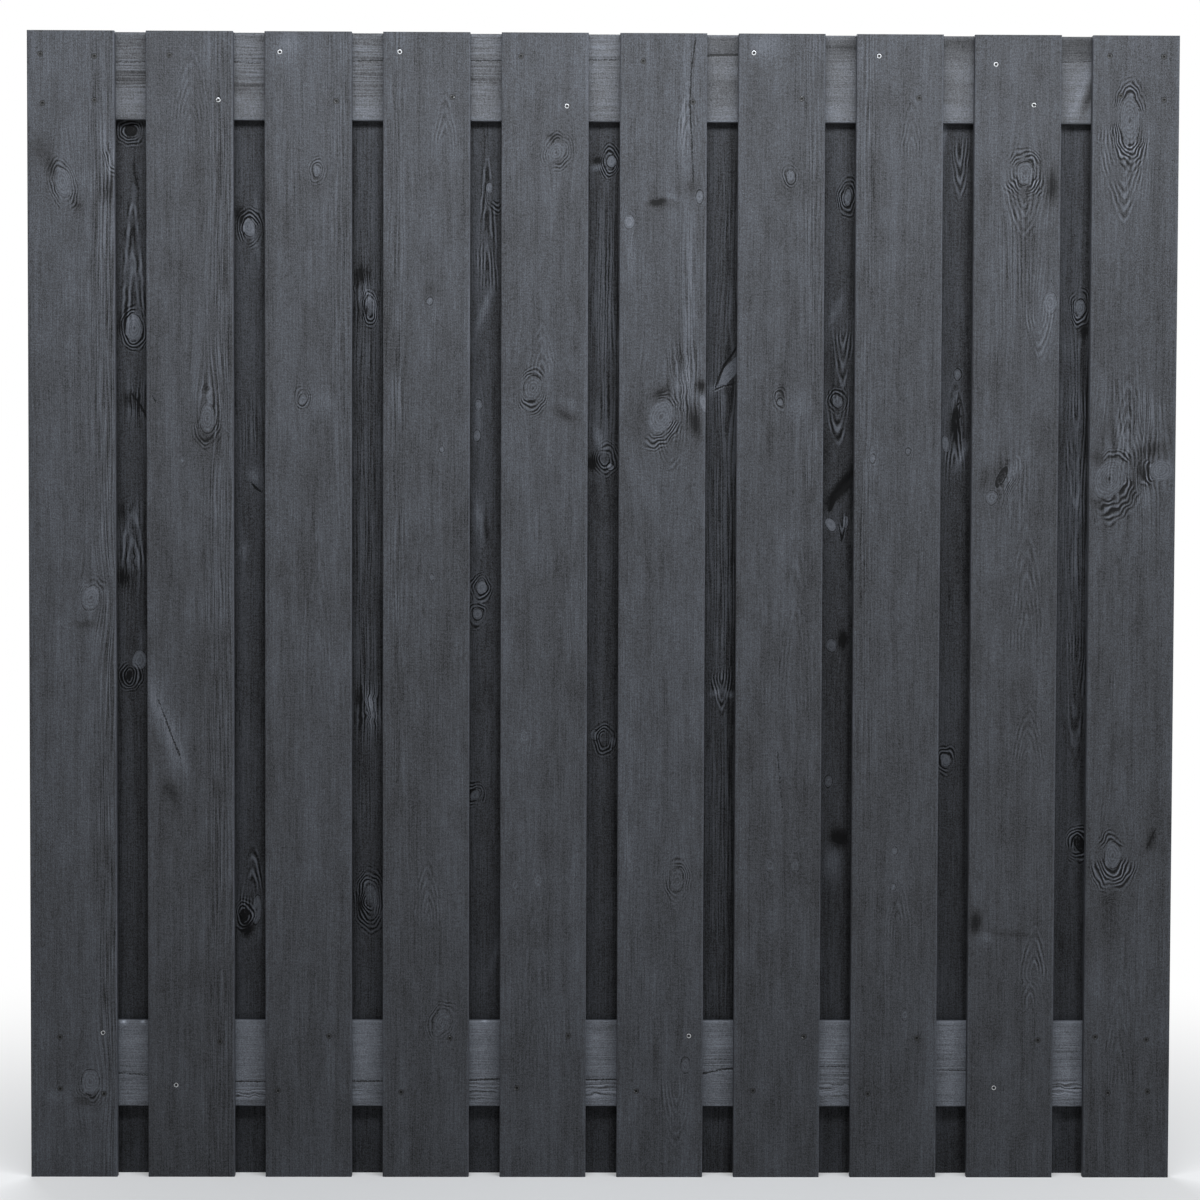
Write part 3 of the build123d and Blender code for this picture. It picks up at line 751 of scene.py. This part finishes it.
        # Paler arrises: partly worn stain, partly a painted highlight that is stronger on the right
        on_front = t < ARRIS_DEPTH - self.thickness / 2
        on_arris = smooth((np.abs(u) - self.width / 2 + ARRIS_REACH) / ARRIS_FADE) * on_front
        edge = on_arris * (ARRIS_WEAR_AND_HIGHLIGHT_MEAN + ARRIS_HIGHLIGHT_LEAN * np.sign(u))
        f.update(plank=np.full_like(v, self.wood.seed), wide=u, deep=t, edge=edge)
        return f

    def build(self, materials):
        """Makes the plank's piece. The first material is on its long faces, the second on its ends."""
        f = self.all_fields()
        points = self.points.copy()
        points[:, 1] -= np.sign(points[:, 1]) * self.relief(f)
        used = np.zeros(len(points), bool)
        used[self.faces.ravel()] = True
        number = np.cumsum(used) - 1
        polygons = number[self.faces].tolist() + [number[ring].tolist() for ring in self.rings]
        material_index = [0] * len(self.faces) + [1, 1] + [0] * (len(self.rings) - 2)
        mesh = bpy.data.meshes.new(self.name)
        mesh.from_pydata((self.place(points[used]) * MM).tolist(), [], polygons)
        for name, values in f.items():
            attribute = mesh.attributes.new(name, "FLOAT", "POINT")
            attribute.data.foreach_set("value", values[used].astype(np.float32))
        mesh.polygons.foreach_set("use_smooth", [True] * len(polygons))
        mesh.polygons.foreach_set("material_index", material_index)
        mesh.set_sharp_from_angle(angle=SHARP_CORNER)
        for material in materials:
            mesh.materials.append(material)
        return add_piece(self.name, mesh)


def add_piece(name, mesh):
    mesh.validate()
    piece = add_object(name, mesh)
    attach(piece, "root")
    return piece


def on_plank(features, plane_y, upright, origin_x, origin_z):
    """Features with their pixels turned into millimetres across and along a plank."""
    def point(px, py):
        x, z = photo_point(px, py, plane_y)
        across = x - origin_x if upright else origin_z - z
        along = z - origin_z if upright else x - origin_x
        return across / MM, along / MM

    placed = []
    for feature in features:
        if isinstance(feature, Crack):
            placed.append(feature._replace(points=[point(*p) for p in feature.points]))
            continue
        x, y = point(feature.x, feature.y)
        scaled = {"x": x, "y": y, "a": feature.a * FEATURE_SCALE}
        for name in ("b", "height", "reach", "spacing"):
            if hasattr(feature, name):
                scaled[name] = getattr(feature, name) * FEATURE_SCALE
        if not upright:
            scaled["a"], scaled["b"] = scaled["b"], scaled["a"]
        placed.append(feature._replace(**scaled))
    return placed


def hidden_features(random, width, length, thickness):
    """A few knots and nests of rings for the face that the photograph doesn't show."""
    found = []
    for _ in range(random.integers(3, 6)):
        across = width + thickness - random.uniform(-0.36, 0.36) * width
        along = random.uniform(0.04, 0.96) * length
        a = random.uniform(5, 15)
        b = a * random.uniform(1.1, 1.7)
        tilt = random.uniform(-20, 20)
        tone, rim = random.uniform(-0.1, 0.3), random.uniform(0.3, 0.9)
        rings = (random.uniform(14, 30), random.uniform(0.5, 1.0), random.uniform(4.6, 5.6))
        found += ringed(across, along, a, b, tone, rim, rings, tilt=tilt)
    for _ in range(2):
        across = width + thickness - random.uniform(-0.2, 0.2) * width
        height = random.uniform(120, 320) * random.choice([-1, 1])
        found.append(Arch(across, random.uniform(0.2, 0.8) * length, random.uniform(20, 40), height, 1.6,
                          random.uniform(0.4, 0.8), 5.2))
    return found


def head_centres(node):
    """The middles of a screw node's heads, as x and z in millimetres, from left to right."""
    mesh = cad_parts[node].data
    points = np.empty(len(mesh.vertices) * 3)
    mesh.vertices.foreach_get("co", points)
    points = points.reshape(-1, 3) / MM
    outer = np.abs(points[:, 1]).max()
    heads = []
    for point in points[np.abs(points[:, 1]) > outer - 0.05][:, [0, 2]]:
        for head in heads:
            if np.hypot(*(head[0] - point)) < 2.2 * HEAD_RADIUS:
                head.append(point)
                break
        else:
            heads.append([point])
    corners = [np.unique(np.round(head, 2), axis=0) for head in heads]
    return sorted(tuple(map(float, corner.mean(axis=0))) for corner in corners)


def build_board(node, centres, materials, random):
    low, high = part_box(node)
    width, thickness, length = ((b - a) / MM for a, b in zip(low, high))
    centre_x, centre_y = (low[0] + high[0]) / 2, (low[1] + high[1]) / 2
    is_front = node.startswith("front")
    number = int(node[-2:])
    features = (FRONT_FEATURES if is_front else BACK_FEATURES)[number]
    features = on_plank(features, low[1], True, centre_x, low[2])
    if not is_front:
        # Strips of painted shadow along the gaps between the front boards
        features += [Patch(u, length / 2, reach, 2 * length, tone) for u, reach, tone in PAINTED_GAP_SHADOW_STRIPS]
    features += hidden_features(random, width, length, thickness)
    holes = [(x - centre_x / MM, z)
             for name, places in centres.items() if name.startswith("front") == is_front
             for x, z in places if abs(x - centre_x / MM) < width / 2]
    corner = np.array([centre_x, centre_y, low[2]]) / MM
    wood = Wood(number + (FRONT_SEED if is_front else BACK_SEED), features, random.uniform(-0.04, 0.04))
    plank = Plank(node + "_wood", (width, thickness, length), wood, lambda points: points + corner,
                  holes, not is_front)
    piece = plank.build(materials)
    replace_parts(piece, node)


def build_rail(node, tone, materials, random):
    low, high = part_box(node)
    length, thickness, width = ((b - a) / MM for a, b in zip(low, high))
    centre_y, centre_z = (low[1] + high[1]) / 2 / MM, (low[2] + high[2]) / 2 / MM
    features = on_plank(RAIL_FEATURES[node], low[1], False, low[0], centre_z * MM)
    features += hidden_features(random, width, length, thickness)

    def place(points):
        u, t, v = points.T
        return np.stack([v + low[0] / MM, t + centre_y, centre_z - u], axis=1)

    wood = Wood(RAIL_SEED + len(node), features, tone)
    plank = Plank(node + "_wood", (width, thickness, length), wood, place, [], False)
    piece = plank.build(materials)
    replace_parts(piece, node)


def build_planks(centres):
    front_wood = stained_wood("front_board_wood", FRONT_FINISH)
    back_wood = stained_wood("back_board_wood", BACK_FINISH)
    rail_wood = stained_wood("rail_wood", RAIL_FINISH)
    ends = end_grain("end_grain")
    random = np.random.default_rng(BUILD_SEED)
    for node in sorted(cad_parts):
        if "board" in node:
            wood = front_wood if node.startswith("front") else back_wood
            build_board(node, centres, [wood, ends], random)
    build_rail("top_rail", TOP_RAIL_TONE, [rail_wood, ends], random)
    build_rail("bottom_rail", BOTTOM_RAIL_TONE, [rail_wood, ends], random)


def screw_mesh(node, places, bare, direction, face_y, material):
    """All the screws of one CAD node. The direction is 1 for screws that point along +Y."""
    points, faces, shades = [], [], []
    for (x, z), share in zip(places, bare):
        turn = x * 0.37 + z * 0.11
        base = len(points)
        for radius, wave, depth, limit in SCREW_RINGS:
            for k in range(SCREW_SEGMENTS):
                angle = 2 * math.pi * k / SCREW_SEGMENTS
                r = radius + wave * math.cos(RECESS_LOBES * angle)
                points.append((x + r * math.cos(angle + turn), face_y + direction * (HEAD_SINK + depth),
                               z + r * math.sin(angle + turn)))
                shades.append(share * limit)
        loops = [[base + ring * SCREW_SEGMENTS + k for k in range(SCREW_SEGMENTS)]
                 for ring in range(len(SCREW_RINGS))]
        screw = [loops[0], loops[-1][::-1]]
        for low, high in zip(loops, loops[1:]):
            screw += [(low[k - 1], high[k - 1], high[k], low[k]) for k in range(SCREW_SEGMENTS)]
        faces += screw if direction > 0 else [face[::-1] for face in screw]
    mesh = bpy.data.meshes.new(node + "_steel")
    mesh.from_pydata([[c * MM for c in p] for p in points], [], faces)
    # The recess is darkened: dirt and painted shade
    clean = [RECESS_DIRT_AND_SHADE if ring < RECESS_RINGS else 1.0
             for ring in range(len(SCREW_RINGS)) for _ in range(SCREW_SEGMENTS)]
    mesh.attributes.new("bare", "FLOAT", "POINT").data.foreach_set("value", shades)
    mesh.attributes.new("clean", "FLOAT", "POINT").data.foreach_set("value", clean * len(places))
    mesh.polygons.foreach_set("use_smooth", [True] * len(faces))
    mesh.set_sharp_from_angle(angle=SCREW_CORNER)
    mesh.materials.append(material)
    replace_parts(add_piece(node + "_steel", mesh), node)


def build_screws(centres):
    steel = screw_steel()
    low, high = cad_box
    for node, direction in SCREW_NODES.items():
        places = centres[node]
        bare = [BARE_BACK] * len(places)
        if direction > 0:
            bare = BARE_TOP if node.endswith("top_rail") else BARE_BOTTOM
        screw_mesh(node, places, bare, direction, (low[1] if direction > 0 else high[1]) / MM, steel)


class Value:
    """What some nodes of a material work out. Arithmetic with it adds the nodes for that."""

    def __init__(self, nodes, socket):
        self.nodes, self.socket = nodes, socket

    def __add__(self, other):
        return self.nodes.math("ADD", self, other)

    def __mul__(self, other):
        return self.nodes.math("MULTIPLY", self, other)

    def __sub__(self, other):
        return self.nodes.math("SUBTRACT", self, other)

    def __rsub__(self, other):
        return self.nodes.math("SUBTRACT", other, self)

    def __pow__(self, other):
        return self.nodes.math("POWER", self, other)

    __radd__, __rmul__ = __add__, __mul__


class Nodes:
    """Writes the nodes of a new material, or of a world."""

    def __init__(self, owner, output="ShaderNodeOutputMaterial"):
        self.owner = owner
        owner.use_nodes = True
        self.tree = owner.node_tree
        self.tree.nodes.clear()
        self.output = self.new(output)

    def new(self, kind, **settings):
        node = self.tree.nodes.new(kind)
        for key, value in settings.items():
            setattr(node, key, value)
        return node

    def fill(self, node, inputs, output=0):
        """Sets or links a node's inputs, by their name or number, and gives one of its outputs."""
        for key, value in inputs.items():
            if isinstance(value, Value):
                self.tree.links.new(value.socket, node.inputs[key])
            else:
                node.inputs[key].default_value = value
        return Value(self, node.outputs[output])

    def finish(self, surface):
        self.tree.links.new(surface.socket, self.output.inputs["Surface"])
        return self.owner

    def math(self, operation, *values):
        return self.fill(self.new("ShaderNodeMath", operation=operation), dict(enumerate(values)))

    def wave(self, turns):
        return self.math("COSINE", turns * (2 * math.pi))

    def band(self, distance, outer, inner):
        """A soft band around where a distance is 0."""
        return self.ramp(self.math("ABSOLUTE", distance), outer, inner)

    def ramp(self, value, low, high, to_low=0.0, to_high=1.0):
        """A soft step of a value between two limits."""
        node = self.new("ShaderNodeMapRange", interpolation_type="SMOOTHSTEP")
        return self.fill(node, dict(enumerate((value, low, high, to_low, to_high))))

    def attributes(self, names):
        nodes = [self.new("ShaderNodeAttribute", attribute_name=name) for name in names.split()]
        return [Value(self, node.outputs["Fac"]) for node in nodes]

    def object_place(self):
        return Value(self, self.new("ShaderNodeTexCoord").outputs["Object"])

    def vector(self, x, y, z):
        return self.fill(self.new("ShaderNodeCombineXYZ"), {0: x, 1: y, 2: z})

    def noise(self, vector, scale=1.0, detail=2.0, roughness=0.5):
        """Noise around 0, mostly between -0.25 and 0.25."""
        inputs = {"Vector": vector, "Scale": scale, "Detail": detail, "Roughness": roughness}
        return self.fill(self.new("ShaderNodeTexNoise"), inputs) - 0.5

    def mix(self, share, first, second, blend="MIX"):
        """A mix of two colours, which are inputs 6 and 7 of its node."""
        node = self.new("ShaderNodeMix", data_type="RGBA", blend_type=blend)
        return self.fill(node, {"Factor": share, 6: first, 7: second}, 2)

    def tint(self, value, low_hue, high_hue=None, share=0.0):
        """A grey value times a hue, or times a blend of two hues."""
        grey = self.fill(self.new("ShaderNodeCombineColor"), {0: value, 1: value, 2: value})
        return self.mix(1.0, grey, self.mix(share, low_hue, high_hue or low_hue), "MULTIPLY")

    def shader(self, colour, roughness, height, depth, specular, metallic=0.0):
        bump = self.fill(self.new("ShaderNodeBump"), {"Strength": 1.0, "Distance": depth, "Height": height})
        return self.fill(self.new("ShaderNodeBsdfPrincipled"), {
            "Base Color": colour, "Roughness": roughness, "Metallic": metallic,
            "Specular IOR Level": specular, "Normal": bump,
        })


def stained_wood(name, finish):
    """Planed softwood under a thin anthracite stain."""
    n = Nodes(bpy.data.materials.new(name))
    contrast, boldness = finish.contrast, finish.boldness
    grain, across, along, plank, deep = n.attributes("grain across along plank deep")
    arc, arc_weight, ring, ring_weight = n.attributes("arc arc_weight ring ring_weight")
    knot, knot_tone, knot_rim, core = n.attributes("knot knot_tone rim core")
    tone, ridge, edge, crack, hole = n.attributes("tone ridge edge crack hole")

    def pattern(side, across_scale, along_scale, shift, **settings):
        """Noise with its own scales across and along the wood, different for every plank."""
        return n.noise(n.vector(side * across_scale, along * along_scale, plank + shift), **settings)

    # Fibres in three widths, and thin dark pores
    thin = pattern(grain, 0.60, 0.015, 0.0, detail=1.0, roughness=0.7)
    medium = pattern(grain, 0.17, 0.006, 7.3, detail=1.0)
    wide = pattern(grain, 0.060, 0.0028, 21.7, detail=1.5)
    pore = n.ramp(pattern(grain, 0.33, 0.0035, 3.1, detail=1.0), -0.06, -0.20) * n.ramp(wide, 0.12, -0.08)

    # The planed face: fuzz, cross ripples, blotches, wear, specks of paint and standing growth lines
    fuzz = pattern(across, 0.66, 0.42, 31.3, detail=1.0, roughness=0.75)
    planed = pattern(across, 0.07, 0.50, 81.0, detail=1.0)
    blotch = pattern(across, 0.080, 0.030, 11.9, roughness=0.6)
    worn = pattern(across, 0.022, 0.012, 15.5, detail=1.0)
    speck = n.ramp(pattern(across, 0.50, 0.40, 41.0, detail=0.0), 0.25, 0.31) * n.ramp(worn, 0.0, 0.14)
    wire = n.wave(grain * 0.17 + medium * 2.2)

    # Growth rings that hug the knots, and rings cut flat into arches
    waver = pattern(across, 0.075, 0.055, 51.0, detail=0.0) * 1.6
    arc_wave, ring_wave = n.wave(arc + waver), n.wave(ring + waver * 0.25)
    uneven = pattern(across, 0.05, 0.03, 61.0, detail=1.0)
    gain = n.ramp(uneven, -0.20, 0.20, 0.1 * boldness, 1.9 * boldness)
    arc_gain, ring_gain = arc_weight * gain, ring_weight * gain
    # Pale crests and dark valleys of the rings: partly the rings' own colour, partly painted highlight on
    # the ridges and painted shade in the grooves of the relief
    dark_rings_and_shade = n.ramp(arc_wave, 0.1, -0.9) * arc_gain * 0.62
    dark_rings_and_shade = dark_rings_and_shade + n.ramp(ring_wave, 0.0, -0.95) * ring_gain * 0.22
    pale_rings_and_highlight = n.ramp(arc_wave, 0.3, 1.0) * arc_gain * 0.42
    pale_rings_and_highlight = pale_rings_and_highlight + n.ramp(ring_wave, 0.1, 0.95) * ring_gain * 0.36

    # Knots: a mottled oval with faint rings, a dark pith, a broken dark rim and a pale halo
    inside = n.ramp(knot, 0.6, -0.8)
    knot_ring = n.math("COSINE", (knot + waver * 2.0) * 1.5)
    pith = n.ramp(core, 0.20, 0.08)
    mottle = pattern(across, 0.24, 0.17, 71.0, detail=1.0)
    rim_gain = knot_rim * n.ramp(waver, -0.26, 0.20, 0.25, 1.2)
    rim = n.band(knot + waver * 1.2, 1.6, 0.2) * rim_gain
    halo = n.band(knot + waver * 1.6 - 1.9, 1.5, 0.1) * rim_gain

    lines = thin * 0.80 + medium * 0.20 - pore * 0.14
    lines = lines * ridge + wire * (ridge - 0.80) * n.ramp(worn, -0.25, 0.25, 0.10, 0.40)
    lines = lines * (contrast - inside * (0.85 * contrast))
    shade = 1.0 + lines + wide * (0.46 * contrast) + blotch * (0.34 * contrast) + worn * 0.55
    # edge: the paler arrises, partly worn stain and partly painted highlight
    shade = shade + fuzz * (1.75 * contrast) + planed * (0.45 * contrast) + edge * 0.5
    shade = shade + tone * (1.0 + thin * 1.8 + fuzz * 1.2) * boldness + pale_rings_and_highlight
    shade = shade + inside * boldness * (knot_tone + knot_ring * 0.13 + mottle * 0.5 - pith * 0.30)
    shade = shade + halo * (0.16 * boldness) - dark_rings_and_shade - rim * (0.7 * boldness)
    # Painted shade inside cracks and in the mouths of the screw holes
    shade = shade * n.ramp(crack + fuzz * 2.5, 0.8, -0.1, 1.0, CRACK_LIGHT)
    shade = shade * n.ramp(hole, HOLE_EDGE, HOLE_RIM, 1.0, HOLE_LIGHT)
    shade = n.math("MAXIMUM", shade + speck * 0.9, DARKEST)
    # The front of a back board is darker than its rear as painted shade, and the front of a rail lighter,
    # partly as painted light
    value = n.ramp(deep, -REAR_BLEND, REAR_BLEND, finish.value, REAR_VALUE)
    colour = n.tint(shade * value, DARK_STAIN, PALE_STAIN, n.ramp(shade, 0.65, 1.35))

    height = (thin * 1.4 + medium * 0.8) * ridge
    height = height + fuzz * 1.4 + planed * 0.9 + tone * 0.5 - dark_rings_and_shade * 1.3 + pale_rings_and_highlight * 0.5
    roughness = 0.58 + blotch * 0.5 + thin * 0.2
    return n.finish(n.shader(colour, roughness, height, WOOD_BUMP, finish.specular))


def end_grain(name):
    """The sawn ends of a plank: growth rings around a heart in front of it, and rough saw marks."""
    n = Nodes(bpy.data.materials.new(name))
    wide, deep, plank = n.attributes("wide deep plank")
    place = n.vector(wide, deep, plank)
    heart = n.noise(n.vector(plank, 0.5, 0.5), scale=3.7, detail=0.0) * HEART_SPREAD
    radius = n.math("SQRT", (wide + heart) ** 2.0 + (deep + HEART_DEPTH) ** 2.0)
    waver = n.noise(place, scale=0.05, detail=1.0) * 5.0
    rings = n.math("SINE", (radius + waver) * RING_TURN)
    fuzz = n.noise(place, scale=0.9, detail=3.0)
    saw = n.noise(n.vector(wide * 0.9, deep * 0.08, plank), detail=1.0)
    shade = 1.0 + rings * 0.18 + fuzz * 0.9 + saw * 0.5
    height = rings * 0.3 + fuzz * 1.5 + saw
    return n.finish(n.shader(n.tint(shade * END_VALUE, DARK_STAIN), 0.75, height, WOOD_BUMP, 0.15))


def screw_steel():
    """Stainless steel, on most heads covered by stain."""
    n = Nodes(bpy.data.materials.new("screw_steel"))
    share, clean = n.attributes("bare clean")
    patchy = n.noise(n.object_place(), scale=420.0, detail=1.0)
    bare = n.ramp(share + patchy * 1.5, 0.50, 0.95)
    # darker in the recess, as dirt and painted shade
    grey = n.ramp(bare, 0.0, 1.0, 0.028, 0.40) * clean
    roughness = n.ramp(bare, 0.0, 1.0, 0.6, 0.38)
    return n.finish(n.shader(n.tint(grey, STEEL_HUE), roughness, patchy, 0.05 * MM, 0.3, bare * 0.35))


def floor_paint():
    """White floor paint that fades into the white background away from the panel."""
    n = Nodes(bpy.data.materials.new("floor_paint"))
    place = n.object_place()
    distance = n.fill(n.new("ShaderNodeVectorMath", operation="LENGTH"), {0: place}, "Value")
    glow_share = n.ramp(distance, FLOOR_FADE_START, FLOOR_FADE_END, FLOOR_GLOW, 1.0)
    colour = n.tint(FLOOR_VALUE + n.noise(place, scale=3.0) * 0.01, WHITE)
    paint = n.shader(colour, 0.8, n.noise(place, scale=60.0), 0.1 * MM, 0.2)
    glow = Value(n, n.new("ShaderNodeEmission").outputs[0])
    return n.finish(n.fill(n.new("ShaderNodeMixShader"), {0: glow_share, 1: paint, 2: glow}))


def add_light(name, lamp):
    data = bpy.data.lights.new(name, "AREA")
    data.shape = "RECTANGLE"
    data.size, data.size_y = lamp.size
    data.energy = lamp.power
    data.color = LIGHT_COLOUR
    light = add_object(name, data)
    aim = Vector(lamp.target) - Vector(lamp.place)
    light.matrix_world = Matrix.Translation(lamp.place) @ aim.to_track_quat("-Z", "Y").to_matrix().to_4x4()
    light.visible_camera = False


def white_world():
    """A dim room with a plain white background."""
    n = Nodes(bpy.data.worlds.new("white_room"), "ShaderNodeOutputWorld")
    seen = Value(n, n.new("ShaderNodeLightPath").outputs["Is Camera Ray"])
    room, background = (n.fill(n.new("ShaderNodeBackground"), {"Color": WHITE, "Strength": strength})
                        for strength in (ROOM_STRENGTH, 1.0))
    surface = n.fill(n.new("ShaderNodeMixShader"), {0: seen, 1: room, 2: background})
    bpy.context.scene.world = n.finish(surface)


def build_stage():
    """A plain pale floor, a white room, and soft lights above, beside and behind the panel."""
    corners = [(-1, -1), (1, -1), (1, 1), (-1, 1)]
    mesh = bpy.data.meshes.new("floor")
    mesh.from_pydata([(x * FLOOR_HALF, y * FLOOR_HALF, 0) for x, y in corners], [], [(0, 1, 2, 3)])
    mesh.materials.append(floor_paint())
    floor = add_object("floor", mesh)
    white_world()
    for name, lamp in LAMPS.items():
        add_light(name, lamp)
    bpy.context.scene.view_settings.view_transform = "Standard"


head_places = {node: head_centres(node) for node in SCREW_NODES}
build_planks(head_places)
build_screws(head_places)
build_stage()
add_camera()
